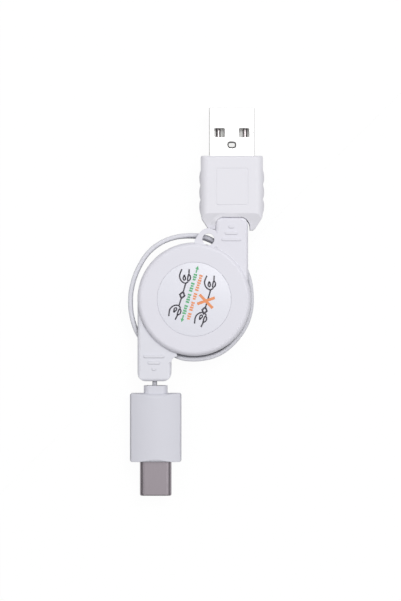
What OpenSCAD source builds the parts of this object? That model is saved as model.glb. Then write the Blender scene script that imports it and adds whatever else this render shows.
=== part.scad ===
// Retractable charging cable: a flat cable wound on a sprung spool in a round casing, with a
// USB-A plug docked on the upper arm and a USB-C plug docked on the lower arm.
// The casing lies on its rear face at z = 0, the spool's axis is the Z axis, and the front faces +Z.

/* [Casing] */
// Radius of both round shells
case_r = 14.8; // [14.6:0.1:17]
// Thickness of the rear shell's floor
floor_t = 1.2; // [0.9:0.1:2]
// Thickness of the front plate
plate_t = 1.4; // [1.2:0.1:2.2]
// Thickness of the rear shell's round wall
rim_t = 1.6; // [1:0.1:1.8]
// Rounding of the outer edges of both shells
edge_round = 1.2; // [0.4:0.1:1.2]
// Radius of the round label
label_r = 9.6; // [6:0.1:9.7]
// Thickness of the label, which lies flush in its recess
label_t = 0.3; // [0.2:0.05:0.5]
// Width of the line between the label and the wall of its recess
label_gap = 0.06; // [0.04:0.01:0.3]

/* [Arms] */
// Distance from the reel's axis to the tip of each arm
arm_reach = 21.4; // [20.5:0.1:26]
// Width of the upper arm, which belongs to the front shell
upper_arm_w = 8.5; // [7.8:0.1:9]
// Place of the upper arm's middle across the casing
upper_arm_x = 9.8; // [9.6:0.1:10]
// Width of the lower arm, which belongs to the rear shell
lower_arm_w = 8.8; // [7.8:0.1:9.4]
// Radius of the two corners at each arm's tip
arm_corner_r = 2.2; // [0.6:0.1:2.4]
// Thickness of the wall behind the cable's channel
arm_back_t = 1.2; // [0.8:0.1:1.6]
// Step from the front plate down to the upper arm's face
arm_drop = 0.45; // [0.3:0.05:0.8]
// Softening of the arms' long front edges
arm_soften = 0.8; // [0.2:0.1:0.9]
// Height of the raised grip bars
bar_h = 0.25; // [0.1:0.05:0.4]
// Thickness of each grip bar
bar_t = 0.7; // [0.4:0.1:1]
// Lengths of the upper arm's three bars, from the reel towards the tip
upper_bars = [5, 3.3, 1.4];
// Lengths of the lower arm's three bars, from the reel towards the tip
lower_bars = [5.4, 3.2, 1.05];
// Distance from the start of the upper arm's walls to its first bar
bar_inset = 0.7; // [0:0.1:1.5]
// Distance from bar to bar
bar_pitch = 1.65; // [1.2:0.05:2]
// Radius of the pegs that join the two shells
peg_r = 0.6; // [0.4:0.05:0.7]
// Length of the pegs
peg_l = 1.5; // [0.8:0.1:2]

/* [Key eyelet] */
// Radius of the eyelet's hole
eyelet_hole_r = 1.55; // [1.4:0.05:1.6]
// Width of the ring round the hole
eyelet_band = 1.3; // [0.9:0.05:1.5]
// Thickness of the ring
eyelet_t = 0.95; // [0.8:0.05:1.4]
// Place of the eyelet across the casing
eyelet_x = 3.7; // [3.4:0.1:3.8]
// Place of the eyelet above the reel's axis
eyelet_y = 15.65; // [15.5:0.05:15.8]

/* [Cable] */
// Thickness of the flat cable
cable_t = 1.2; // [0.9:0.05:1.25]
// Width of the flat cable, which stands on edge
cable_w = 3.1; // [2.4:0.1:4]
// Room between neighbouring turns of the coil
turn_gap = 0.04; // [0.02:0.01:0.2]
// Free room on each side of the cable in the arms' channels
channel_gap = 0.35; // [0.2:0.05:0.45]

/* [Reel] */
// Clearance between the spool and the rear shell's round wall
reel_gap = 0.3; // [0.2:0.05:0.4]
// Radius of the hub that the cable winds on
hub_r = 4.6; // [4:0.1:4.7]
// Thickness of the spool's web
web_t = 0.9; // [0.7:0.1:1.6]
// Thickness of the spool's cap
cap_t = 0.9; // [0.85:0.05:1.4]
// Thickness of the barrel's wall round the spring
barrel_t = 0.9; // [0.6:0.1:1]
// Radius of the rear shell's post that the spool turns on
post_r = 2.2; // [1.6:0.1:2.4]
// Radius of the cap's stub axle
axle_r = 1.6; // [1:0.1:2.2]
// Length of the stub axle above the cap
axle_l = 1; // [0.7:0.05:1.1]
// Radial clearance of the two running fits
bearing_gap = 0.05; // [0.02:0.01:0.09]
// Width of the spring strip, from front to rear
spring_w = 1.6; // [1.2:0.1:2.6]
// Thickness of the spring strip
spring_t = 0.15; // [0.1:0.01:0.25]
// Number of turns of the spring
spring_turns = 8; // [5:1:10]
// Clearance between parts that turn and parts that stand still
level_gap = 0.15; // [0.1:0.01:0.25]

/* [Latch] */
// Radius of the latch ball
ball_r = 0.55; // [0.45:0.01:0.6]
// Distance from the cap's edge to the middle of the ball's track
track_in = 1.9; // [1.8:0.05:2.2]
// Half of the ball's radial travel
ball_travel = 0.25; // [0.1:0.05:0.3]
// Number of catch pockets in the track
catches = 6; // [3:1:8]

/* [USB-A plug] */
// Place of the plug's axis across the casing
plug_a_x = 9.8; // [9.6:0.1:10]
// Width of the metal shell
a_shell_w = 12; // [11.9:0.05:12.1]
// Height of the metal shell
a_shell_h = 4.5; // [4.4:0.05:4.6]
// Sheet thickness of the metal shell
a_sheet = 0.3; // [0.25:0.01:0.35]
// Length of the metal shell in front of the grip
a_shell_l = 12.5; // [11.8:0.1:13]
// Width of the grip at its lobes
a_grip_w = 16.9; // [16.5:0.1:18.5]
// Height of the grip
a_grip_h = 8; // [7.6:0.1:9]
// Length of the grip above the arm's tip
a_grip_l = 16; // [14.5:0.1:18]
// How far the grip's two tips reach down beside the arm
a_tip_l = 3.3; // [2:0.1:4]
// Depth of the notches between the finger lobes
scallop = 0.35; // [0.2:0.05:0.6]
// Number of lobes along each side, below the plain collar
lobes = 3; // [2:1:5]
// Length of the plain collar round the metal shell
a_collar_l = 3.8; // [3:0.1:4.6]
// Length of the sloped end below the crease
a_slope_l = 4.3; // [3.6:0.1:5]
// Clearance between the arm's tip and the dock in the grip
dock_gap = 0.08; // [0.05:0.01:0.5]
// Clearance on each side of the arm in the dock
dock_side = 0.5; // [0.2:0.05:0.7]

/* [USB-C plug] */
// Distance from the lower arm's middle line to the plug's axis
plug_c_side = 0.3; // [-0.2:0.1:0.5]
// Width of the metal shell
c_shell_w = 8.3; // [8.2:0.01:8.4]
// Height of the metal shell
c_shell_h = 2.5; // [2.4:0.01:2.6]
// Sheet thickness of the metal shell
c_sheet = 0.22; // [0.18:0.01:0.26]
// Length of the metal shell in front of the grip
c_shell_l = 8.9; // [8.4:0.1:9.4]
// Width of the grip
c_grip_w = 13.5; // [12.6:0.1:14.5]
// Height of the grip
c_grip_h = 6.4; // [6:0.1:7.5]
// Length of the grip
c_grip_l = 17.9; // [16:0.1:20]
// Corner radius of the grip seen from the front
c_grip_r = 0.6; // [0.4:0.1:2]
// Width of the neck
c_neck_w = 6.2; // [5.4:0.1:7]
// Length of the neck
c_neck_l = 2; // [1.4:0.1:3]
// Free cable between the lower arm and the neck
c_stub_l = 1.2; // [0.8:0.1:2]

/* [Hidden] */
$fn = 64;
white = "#e6e5ee";
cool_white = "#dcdce6";
steel = "#c8c6c8";
gold = "#c9a24a";
eps = 0.01;

// Levels from the rear face up
z_spring0 = floor_t + level_gap;
z_spring1 = z_spring0 + spring_w;
z_web0 = z_spring1 + level_gap;
z_web1 = z_web0 + web_t;
z_rim = z_web1 - 0.1;
z_cable0 = z_web1 + 0.1;
z_cable1 = z_cable0 + cable_w;
z_cap0 = z_cable1 + 0.1;
z_cap1 = z_cap0 + cap_t;
z_plate0 = z_cap1 + 0.25;
z_plate1 = z_plate0 + plate_t;
z_mid = (z_cable0 + z_cable1) / 2;
z_roof = z_cable1 + 0.25;
z_arm0 = z_rim - arm_back_t;
z_arm1 = z_plate1 - arm_drop;

// The spool turns in this cylinder, and what stands still keeps out of it
rim_in_r = case_r - rim_t;
spool_r = rim_in_r - reel_gap;
reel_clear_r = spool_r + level_gap;
track_r = spool_r - track_in;

// The coil: two spirals, half a turn apart, that meet in the S through the hub
coil_r0 = hub_r + cable_t / 2 + turn_gap;
coil_advance = 2 * (cable_t + turn_gap);
coil_step = 10;
wound_angle = coil_step * floor(360 * (spool_r - cable_t / 2 - coil_r0) / coil_advance / coil_step);
coil_end = 110;
coil_phase = coil_end - wound_angle;

// Room between the end of a lead and the plug that moves away from it
face_gap = 0.06;

// The lower arm's outer side is flush with the round of the casing
lower_arm_x = lower_arm_w / 2 - case_r;
plug_c_x = lower_arm_x + plug_c_side;

// Turns of the two leads round the reel, from the coil outward, laid for a casing of this radius
route_r = 14.8;
TURN_A = [[-5.75, 12.4], [-9.65, 9.65], [-12.3, 5.8], [-13.7, 0], [-12.7, -5.8], [-10.2, -10.1],
    [-7.1, -13.4], [-3.7, -15.3], [0, -15.75], [3.8, -15.3], [6.9, -14.1], [9.5, -12.15],
    [11.65, -9.8], [13.4, -7.1], [14.5, -4.15], [15, -1.05], [14.9, 2.1], [14.4, 5.25], [13, 9]];
TURN_C = [[5.75, -12.4], [9.65, -9.65], [12.35, -5.85], [13.55, -0.1], [12.8, 4.7], [10.9, 8.6],
    [8.7, 11.4], [6.5, 13.9], [4.1, 15.6], [0.9, 16.5], [-2.9, 16.55], [-6.4, 15.85],
    [-9.65, 14.25], [-12.3, 11.9], [-14.25, 8.9], [-15.65, 5.7], [-16.5, 2.3],
    [-16.7, -1.2], [-16.3, -4.65], [-15, -8.6]];
// The rest of each route runs along its arm, measured from the arm's middle line
IN_ARM_A = [[1.6, 12], [0.45, 14.6], [0.1, 17]];
IN_ARM_C = [[-2.2, -12], [-0.5, -14.7], [0, -17.4]];
function route(turn, in_arm, arm_x) = concat([for (p = turn) p * case_r / route_r],
    [for (p = in_arm) p + [arm_x, 0]]);
route_a = route(TURN_A, IN_ARM_A, upper_arm_x);
route_c = route(TURN_C, IN_ARM_C, lower_arm_x);
lead_a_end = [plug_a_x, arm_reach + dock_gap - face_gap];

// How far the cable leaves the lower arm beside the plug's axis
c_cable_side = 0.25;
lead_c_end = [plug_c_x - c_cable_side, -arm_reach - c_stub_l + face_gap];

// Lengths inside the two plugs, measured from the end of each grip
a_core_l = 9;
a_tail_l = 4.5;
c_core_l = 7.6;
c_tail_l = 3.2;
fit_gap = 0.03;

// Points on an arc about a centre
function arc(c, r, from, to, n = 8) =
    [for (i = [0 : n]) c + r * [cos(from + (to - from) * i / n), sin(from + (to - from) * i / n)]];

// One point of a smooth curve between b and c, at t from 0 to 1
function between(a, b, c, d, t) = 0.5 * (2 * b + (c - a) * t
    + (2 * a - 5 * b + 4 * c - d) * t * t + (3 * b - a - 3 * c + d) * t * t * t);

// A smooth line through a route's points
function smooth(p, n = 4) = let (last = len(p) - 1) [
    for (i = [0 : last - 1]) for (j = [0 : n - 1])
        between(p[max(i - 1, 0)], p[i], p[i + 1], p[min(i + 2, last)], j / n), p[last]];

// The line moved sideways, to the left of its direction
function aside(p, d) = let (last = len(p) - 1) [for (i = [0 : last])
    let (v = p[min(i + 1, last)] - p[max(i - 1, 0)]) p[i] + d * [-v[1], v[0]] / norm(v)];
function reversed(p) = [for (i = [len(p) - 1 : -1 : 0]) p[i]];
function turned(p, a) = [for (q = p) [q[0] * cos(a) - q[1] * sin(a), q[0] * sin(a) + q[1] * cos(a)]];

// A flat strip that stands on edge along a line in the XY plane
module strip(line, t, z0, z1) {
    translate([0, 0, z0])
        linear_extrude(z1 - z0)
            polygon(concat(aside(line, t / 2), reversed(aside(line, -t / 2))));
}

// A rectangle with round corners, centred
module round_rect(w, h, r) {
    square([w - 2 * r, h], center = true);
    square([w, h - 2 * r], center = true);
    for (x = [-1, 1]) for (y = [-1, 1])
        translate([x * (w / 2 - r), y * (h / 2 - r)]) circle(r);
}

// Extrudes a section drawn in X and Z along +Y from y0 to y1
module along_y(y0, y1) {
    translate([0, y1, 0]) rotate([90, 0, 0]) linear_extrude(y1 - y0) children();
}

// Extrudes a side view drawn in Y and Z along X, centred
module along_x(w) {
    translate([-w / 2, 0, 0]) rotate([90, 0, 90]) linear_extrude(w) children();
}

// Outline of an arm, from the reel's axis to its rounded tip
module arm_outline(w, tip, grow = 0) {
    r = arm_corner_r + grow;
    half = w / 2 + grow;
    translate([-half, 0]) square([2 * half, tip + grow - r]);
    translate([-half + r, 0]) square([2 * (half - r), tip + grow]);
    for (x = [-1, 1]) translate([x * (half - r), tip + grow - r]) circle(r);
}

// Section across an arm, with its long front edges softened
module arm_section(w, z0, z1) {
    r = arm_soften;
    translate([-w / 2, z0]) square([w, z1 - z0 - r]);
    translate([-w / 2 + r, z0]) square([w - 2 * r, z1 - z0]);
    for (x = [-1, 1]) translate([x * (w / 2 - r), z1 - r]) circle(r);
}

// Side view of an arm, with its tip's front edge softened
module arm_side(tip, z0, z1) {
    r = arm_soften;
    translate([0, z0]) square([tip, z1 - z0 - r]);
    translate([0, z0]) square([tip - r, z1 - z0]);
    translate([tip - r, z1 - r]) circle(r);
}

module arm_block(w, z0, z1) {
    intersection() {
        translate([0, 0, z0]) linear_extrude(z1 - z0) arm_outline(w, arm_reach);
        along_y(0, arm_reach) arm_section(w, z0, z1);
        along_x(w) arm_side(arm_reach, z0, z1);
    }
}

// Three bars across an arm's face, shorter towards the tip
module grip_bars(lengths, first_y, z) {
    for (i = [0 : len(lengths) - 1])
        translate([0, first_y + i * bar_pitch, z - eps])
            linear_extrude(bar_h + eps) round_rect(max(lengths[i], bar_t + 0.3), bar_t, bar_t / 2 - 0.02);
}

// Where the walls of the arms begin, outside the paths of the cable's slack turns
wall_y = case_r + 0.1;
peg_y = (wall_y + arm_reach) / 2 - 0.5;

// Pegs on the rear shell's tongue, in the two walls of the upper arm
module tongue_pegs(r, l) {
    for (x = [-1, 1]) translate([upper_arm_x + x * (upper_arm_w / 2 - 1.45), peg_y, z_rim - eps])
        cylinder(r = r, h = l + eps);
}

// Pegs under the front plate, in the roof of the lower arm
module roof_pegs(r, l) {
    for (a = [213, 237]) rotate(a) translate([(reel_clear_r + case_r) / 2 + 0.05, 0, z_plate0 - l])
        cylinder(r = r, h = l + eps);
}
roof_peg_l = 0.6;
roof_peg_r = 0.5;

module upper_channel(gap) {
    strip(smooth(concat(route_a, [lead_a_end + [0, 2]])), cable_t + 2 * gap, z_rim - 2, z_roof);
}
module lower_channel(gap, z0) {
    strip(smooth(concat(route_c, [lead_c_end])), cable_t + 2 * gap, z0, z_roof);
}

// Section of a round shell, with its outer edge rounded at the given side
module shell_plate(r, z0, z1, rounding, at_top) {
    polygon(concat([[0, z0], [0, z1]],
        at_top ? concat(arc([r - rounding, z1 - rounding], rounding, 90, 0), [[r, z0]])
               : concat([[r, z1]], arc([r - rounding, z0 + rounding], rounding, 0, -90))));
}

module front_shell() {
    color(white) difference() {
        union() {
            rotate_extrude() shell_plate(case_r, z_plate0, z_plate1, edge_round, true);
            // the upper arm's face
            difference() {
                translate([upper_arm_x, 0, 0]) arm_block(upper_arm_w, z_rim, z_arm1);
                translate([upper_arm_x - upper_arm_w, -1, z_rim - 1])
                    cube([2 * upper_arm_w, wall_y + 1, z_plate0 - z_rim + 1]);
                translate([0, 0, z_rim - 1]) cylinder(r = case_r - edge_round, h = 20);
            }
            translate([upper_arm_x - 0.1, 0, 0]) grip_bars(upper_bars, wall_y + bar_inset, z_arm1);
            translate([0, 0, z_plate0]) linear_extrude(eyelet_t) eyelet_outline();
            roof_pegs(roof_peg_r, roof_peg_l);
        }
        upper_channel(channel_gap);
        lower_channel(channel_gap, z_rim - 1);
        tongue_pegs(peg_r + 0.02, peg_l + 0.2);
        translate([eyelet_x, eyelet_y, z_plate0 - 1]) cylinder(r = eyelet_hole_r, h = 4);
        translate([0, 0, z_plate1 - label_t]) cylinder(r = label_r + label_gap, h = label_t + 1);
        // bearing for the cap's stub axle
        translate([0, 0, z_cap1 - 0.5]) cylinder(r = axle_r + bearing_gap, h = axle_l + 0.55);
        latch_slot();
    }
}

// Outline of the eyelet: round, with a straight flank down to the casing's edge
module eyelet_outline() {
    middle = [eyelet_x, eyelet_y];
    r = eyelet_hole_r + eyelet_band;
    foot = [0.1, wall_y + 0.5];
    away = foot - middle;
    a = atan2(away[1], away[0]) - acos(r / norm(away));
    translate(middle) circle(r);
    polygon([foot, middle + r * [cos(a), sin(a)], middle, [eyelet_x, wall_y - 1], foot - [0, 1.5]]);
}

// Radial slot under the front plate that keeps the latch ball from going round
module latch_slot() {
    l = 2 * (ball_travel + ball_r + 0.06);
    w = 2 * (ball_r + 0.05);
    translate([-track_r - l / 2, -w / 2, z_plate0 - 1])
        cube([l, w, 1 + ball_r - (z_plate0 - z_cap1) / 2 + 0.07]);
}

module rear_shell() {
    color(cool_white) difference() {
        union() {
            // round cup
            rotate_extrude() difference() {
                shell_plate(case_r, 0, z_rim, edge_round, false);
                translate([0, floor_t]) square([rim_in_r, z_rim]);
            }
            // post that the spool turns on
            cylinder(r = post_r, h = z_web1 - 0.05);
            // lower arm, and the tongue under the upper arm
            difference() {
                union() {
                    mirror([0, 1, 0]) translate([lower_arm_x, 0, 0])
                        arm_block(lower_arm_w, z_arm0, z_plate0);
                    translate([upper_arm_x, 0, z_arm0]) linear_extrude(z_rim - z_arm0)
                        arm_outline(upper_arm_w, arm_reach);
                    arm_flare();
                }
                cylinder(r = rim_in_r + rim_t / 2, h = z_rim + eps);
                translate([0, 0, z_rim]) cylinder(r = reel_clear_r, h = 20);
                // room between floor and roof for the slack turns
                translate([-40, -wall_y, z_rim]) cube([80, 80, z_roof - z_rim]);
            }
            mirror([0, 1, 0]) translate([lower_arm_x - 0.1, 0, 0])
                grip_bars(lower_bars, wall_y, z_plate0);
            tongue_pegs(peg_r, peg_l);
        }
        lower_channel(channel_gap, z_rim + eps);
        roof_pegs(roof_peg_r + 0.02, roof_peg_l + 0.05);
        // slit in the post that holds the spring's inner end
        translate([0, -spring_t / 2 - 0.05, z_spring0 - 0.05])
            cube([post_r + 1, spring_t + 0.1, z_web1]);
    }
}

// Fillet where the lower arm's inner side runs under the front plate
arm_flare_r = 1.5;
module arm_flare() {
    translate([lower_arm_x + lower_arm_w / 2, -wall_y - 1.6, z_roof])
        linear_extrude(z_plate0 - z_roof) difference() {
            translate([-1, 0]) square([1 + arm_flare_r, 3]);
            translate([arm_flare_r, 0]) circle(arm_flare_r);
        }
}

module front_label() {
    color("#e8e8f1") translate([0, 0, z_plate1 - label_t]) cylinder(r = label_r, h = label_t);
}

module cable_lead_a() {
    color(cool_white) strip(smooth(concat(route_a, [lead_a_end])), cable_t, z_cable0, z_cable1);
}
module cable_lead_c() {
    color(cool_white) strip(smooth(concat(route_c, [lead_c_end])), cable_t, z_cable0, z_cable1);
}

// The S through the hub: two half circles of half the coil's inner radius
function s_line() = concat(arc([coil_r0 / 2, 0], coil_r0 / 2, 0, -180, 12),
    arc([-coil_r0 / 2, 0], coil_r0 / 2, 15, 180, 11));
// One half of the winding, from the hub outward
function half_coil() = [for (a = [coil_step : coil_step : wound_angle])
    (coil_r0 + coil_advance * a / 360) * [cos(a), sin(a)]];

module cable_coil() {
    line = concat(reversed(half_coil()), s_line(), [for (p = half_coil()) -p]);
    color(cool_white) strip(turned(line, coil_phase), cable_t, z_cable0, z_cable1);
}

cap_peg_r = 0.7;
module cap_pegs(r, l) {
    rotate(coil_phase) for (a = [0, 180]) rotate(a)
        translate([coil_r0 / 2, hub_r * 0.33, z_cap0 - l]) cylinder(r = r, h = l + eps);
}

module spool() {
    color("#f2f2f0") difference() {
        union() {
            translate([0, 0, z_web0]) cylinder(r = spool_r, h = web_t);
            translate([0, 0, z_spring0]) difference() {
                cylinder(r = spool_r, h = z_web0 - z_spring0 + eps);
                translate([0, 0, -1]) cylinder(r = spool_r - barrel_t, h = 10);
            }
            translate([0, 0, z_web1 - eps]) cylinder(r = hub_r, h = z_cap0 - z_web1 + eps);
        }
        strip(turned(s_line(), coil_phase), cable_t + 0.2, z_web1, z_cap0 + 1);
        translate([0, 0, z_web0 - 1]) cylinder(r = post_r + bearing_gap, h = web_t + 1);
        cap_pegs(cap_peg_r + 0.02, 1.6);
        // slot that holds the spring's outer end
        rotate(spring_end) translate([spool_r - barrel_t - 1, -spring_t / 2 - 0.05, z_spring0 - 1])
            cube([1 + barrel_t * 0.6, spring_t + 0.1, spring_w + 1.05]);
    }
}

module spool_cap() {
    color("#f2f2f0") difference() {
        union() {
            translate([0, 0, z_cap0]) cylinder(r = spool_r, h = cap_t);
            translate([0, 0, z_cap1 - eps]) cylinder(r = axle_r, h = axle_l + eps);
            cap_pegs(cap_peg_r, 1.4);
        }
        latch_track();
    }
}

// Ring groove for the latch ball, with catch pockets in its outer wall
module latch_track() {
    half = ball_travel + ball_r + 0.06;
    depth = ball_r - (z_plate0 - z_cap1) / 2 + 0.07;
    translate([0, 0, z_cap1 - depth]) {
        difference() {
            cylinder(r = track_r + half, h = 2);
            translate([0, 0, -1]) cylinder(r = track_r - half, h = 4);
        }
        for (i = [0 : catches - 1]) rotate(i * 360 / catches)
            translate([track_r + half - 0.3, 0, 0]) cylinder(r = ball_r + 0.05, h = 2);
    }
}

// The spring: from the post's slit in a spiral to the barrel's slot
spring_r0 = post_r + 0.25;
spring_r1 = spool_r - barrel_t - spring_t / 2 - 0.1;
spring_end = 40;
function spring_line() = let (sweep = 360 * spring_turns + spring_end) concat(
    [[0.7, 0], [post_r, 0]],
    [for (a = [20 : 20 : sweep]) (spring_r0 + (spring_r1 - spring_r0) * a / sweep) * [cos(a), sin(a)]],
    turned([[spring_r1 + 0.18, 0.0], [spring_r1 + barrel_t * 0.5, 0]], spring_end));

module power_spring() {
    color(steel) strip(spring_line(), spring_t, z_spring0, z_spring1);
}

module latch_ball() {
    color(steel) translate([-track_r, 0, (z_cap1 + z_plate0) / 2]) sphere(ball_r);
}

// Each plug is drawn about its own axis with y = 0 at the arm's tip and its mouth towards +Y
module at_a() { translate([plug_a_x, arm_reach, z_mid]) children(); }
module at_c() { translate([plug_c_x, -arm_reach, z_mid]) rotate(180) children(); }

// One side of the grip's outline: plain collar, lobes, then the slope to the tip beside the arm
a_crease_y = a_slope_l - a_tip_l;
a_corner_r = 0.5;
function lobe_side() = let (
        half = a_grip_w / 2, top = a_grip_l - a_collar_l, step = (top - a_crease_y) / lobes)
    concat(arc([half - scallop - a_corner_r, a_grip_l - a_corner_r], a_corner_r, 90, 0, 4),
        [for (i = [0 : lobes - 1]) for (j = [0 : 8])
            [half - scallop * pow(abs(j / 4 - 1), 2.4), top - (i + j / 8) * step]]);

module a_grip_outline() {
    half = a_grip_w / 2;
    side = concat(lobe_side(), [[half - 0.6, a_crease_y - 1.3], [half - 2.2, -a_tip_l + 0.5],
        [half - 2.8, -a_tip_l]]);
    polygon(concat(side, reversed([for (p = side) [-p[0], p[1]]])));
}

// Outline of the dock: the arm's tip with room round it
module dock_outline() {
    half = upper_arm_w / 2 + dock_side;
    r = arm_corner_r + 0.5;
    translate([-half, -a_tip_l - 5]) square([2 * half, a_tip_l + 5 + dock_gap - r]);
    translate([-half + r, -a_tip_l]) square([2 * (half - r), a_tip_l + dock_gap]);
    for (x = [-1, 1]) translate([x * (half - r), dock_gap - r]) circle(r);
}

// Side view of the grip: flat face, sloped back below the crease
module a_grip_side() {
    h = a_grip_h / 2;
    polygon(concat([[-a_tip_l, -h + 1.7], [a_crease_y, -h]], arc([a_grip_l - 0.6, -h + 0.6], 0.6, -90, 0),
        arc([a_grip_l - 0.6, h - 0.6], 0.6, 0, 90), [[a_crease_y, h], [-a_tip_l, h - 1.7]]));
}

panel_w = 8.5;
panel_l = 9.8;
panel_line = 0.3;
panel_deep = 0.04;
module usb_a_grip() {
    color(white) at_a() difference() {
        intersection() {
            translate([0, 0, -a_grip_h / 2]) linear_extrude(a_grip_h) a_grip_outline();
            along_y(-a_tip_l, a_grip_l) round_rect(a_grip_w + 0.2, a_grip_h, 2.3);
            along_x(a_grip_w + 2) a_grip_side();
        }
        // dock for the arm's tip, open to the front and the rear
        translate([0, 0, -a_grip_h]) linear_extrude(2 * a_grip_h) dock_outline();
        // fine line round the bare panel in the face
        translate([0, (a_grip_l + a_crease_y) / 2 - 0.65, a_grip_h / 2 - panel_deep])
            linear_extrude(1) difference() {
                round_rect(panel_w, panel_l, 0.5);
                round_rect(panel_w - 2 * panel_line, panel_l - 2 * panel_line, 0.35);
            }
        // seat of the metal shell
        along_y(a_rear, a_grip_l + 1) round_rect(a_shell_w, a_shell_h, a_shell_r);
        // room for the inner moulding
        along_y(a_rear - a_core_l, a_rear + eps) square([a_core_w, a_core_h], center = true);
    }
}

a_core_w = a_shell_w - 1;
a_core_h = a_shell_h - 0.4;
module usb_a_core() {
    color("#d8d6cc") at_a() along_y(a_rear - a_core_l, a_rear) square([a_core_w, a_core_h], center = true);
}

// Rolled shell with two latch windows in each face and an oval hole in the front one
a_shell_r = 0.5;
a_window = [2.7, 2.3];
a_window_x = 3.2;
a_window_back = 6.4;
a_oval = [2.3, 1.7];
a_oval_back = 9.6;
module usb_a_shell() {
    color(steel) at_a() difference() {
        along_y(a_rear, a_tip) round_rect(a_shell_w, a_shell_h, a_shell_r);
        along_y(a_rear - 1, a_tip + 1) round_rect(a_inner_w, a_inner_h, a_shell_r - a_sheet + 0.05);
        for (x = [-1, 1]) translate([x * a_window_x, a_tip - a_window_back, -a_shell_h])
            linear_extrude(2 * a_shell_h) round_rect(a_window[0], a_window[1], 0.3);
        translate([0, a_tip - a_oval_back, 0]) linear_extrude(a_shell_h)
            round_rect(a_oval[0], a_oval[1], 0.7);
    }
}

// Inside of the metal shell, the tongue and its contacts
a_tip = a_grip_l + a_shell_l;
a_rear = a_grip_l - a_tail_l;
a_inner_w = a_shell_w - 2 * a_sheet;
a_inner_h = a_shell_h - 2 * a_sheet;
a_tongue_t = 1.84;
a_tongue_top = -a_inner_h / 2 + fit_gap + a_tongue_t;
a_contact_w = 1;
a_contact_t = 0.4;
a_contact_proud = 0.15;
a_contact_crown_r = 0.75;
a_contact_x = [-3.5, -1, 1, 3.5];
a_contact_back = [1.2, 2.2, 2.2, 1.2];
// How far behind the mouth the block begins that fills the shell and carries the boss in its oval hole
a_block_back = 8.6;
a_boss_gap = 0.33;
a_groove_gap = 0.1;
module usb_a_tongue() {
    w = a_inner_w - 0.3;
    color("#f4f4f2") at_a() {
        difference() {
            union() {
                translate([-w / 2, a_rear, a_tongue_top - a_tongue_t])
                    cube([w, a_tip - 0.4 - a_rear, a_tongue_t]);
                along_y(a_rear, a_tip - a_block_back)
                    round_rect(a_inner_w - 2 * fit_gap, a_inner_h - 2 * fit_gap, 0.25);
            }
            // grooves of the contacts
            for (i = [0 : 3])
                translate([a_contact_x[i], 0, a_tongue_top + a_contact_proud - a_contact_t - fit_gap])
                    along_y(a_rear - 1, a_tip - a_contact_back[i] + a_groove_gap)
                        translate([-a_contact_w / 2 - a_groove_gap, 0])
                            square([a_contact_w + 2 * a_groove_gap, a_contact_t + 2 * fit_gap]);
            // moat round the boss
            translate([0, a_tip - a_oval_back, a_inner_h / 2 - 0.5]) linear_extrude(1)
                round_rect(a_oval[0], a_oval[1], 0.7);
        }
        translate([0, a_tip - a_oval_back, a_inner_h / 2 - 0.6]) linear_extrude(a_sheet + 0.5)
            round_rect(a_oval[0] - 2 * a_boss_gap, a_oval[1] - 2 * a_boss_gap, 0.4);
    }
}

// Contacts lie in grooves of the tongue; the two outer ones reach further forward
module usb_a_contact(i) {
    color(gold) at_a() translate([a_contact_x[i], 0, a_tongue_top + a_contact_proud - a_contact_t])
        along_y(a_rear, a_tip - a_contact_back[i]) intersection() {
            translate([-a_contact_w / 2, 0]) square([a_contact_w, a_contact_t]);
            translate([0, a_contact_t - a_contact_crown_r]) circle(a_contact_crown_r);
        }
}
module usb_a_contact_1() { usb_a_contact(0); }
module usb_a_contact_2() { usb_a_contact(1); }
module usb_a_contact_3() { usb_a_contact(2); }
module usb_a_contact_4() { usb_a_contact(3); }

c_y0 = c_stub_l + c_neck_l;
c_y1 = c_stub_l + c_neck_l + c_grip_l;
c_tip = c_y1 + c_shell_l;
c_rear = c_y1 - c_tail_l;

// Section across the USB-C grip: a full oval with flat faces
module c_grip_section(w, h) {
    r = h * 0.42;
    intersection() {
        round_rect(w, h, r);
        translate([0, -w * 1.2 + h / 2]) circle(w * 1.2);
        translate([0, w * 1.2 - h / 2]) circle(w * 1.2);
    }
}

module c_grip_side() {
    h = c_grip_h / 2;
    polygon(concat(arc([c_y1 - 0.9, -h + 0.9], 0.9, -90, 0), arc([c_y1 - 0.9, h - 0.9], 0.9, 0, 90),
        arc([c_y0 + 1.3, h - 1.3], 1.3, 90, 180), arc([c_y0 + 1.3, -h + 1.3], 1.3, 180, 270)));
}

module usb_c_grip() {
    color("#d3d3dd") at_c() difference() {
        union() {
            intersection() {
                translate([0, (c_y0 + c_y1) / 2, -c_grip_h / 2]) linear_extrude(c_grip_h)
                    round_rect(c_grip_w, c_grip_l, c_grip_r);
                along_y(c_y0, c_y1) c_grip_section(c_grip_w, c_grip_h);
                along_x(c_grip_w) c_grip_side();
            }
            along_y(c_stub_l, c_y0 + 1) round_rect(c_neck_w, c_grip_h * 0.72, 1.6);
        }
        along_y(c_rear, c_y1 + 1) round_rect(c_shell_w, c_shell_h, c_shell_h / 2 - 0.01);
        along_y(c_rear - c_core_l, c_rear + eps) square([c_core_w, c_core_h], center = true);
    }
}

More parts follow.
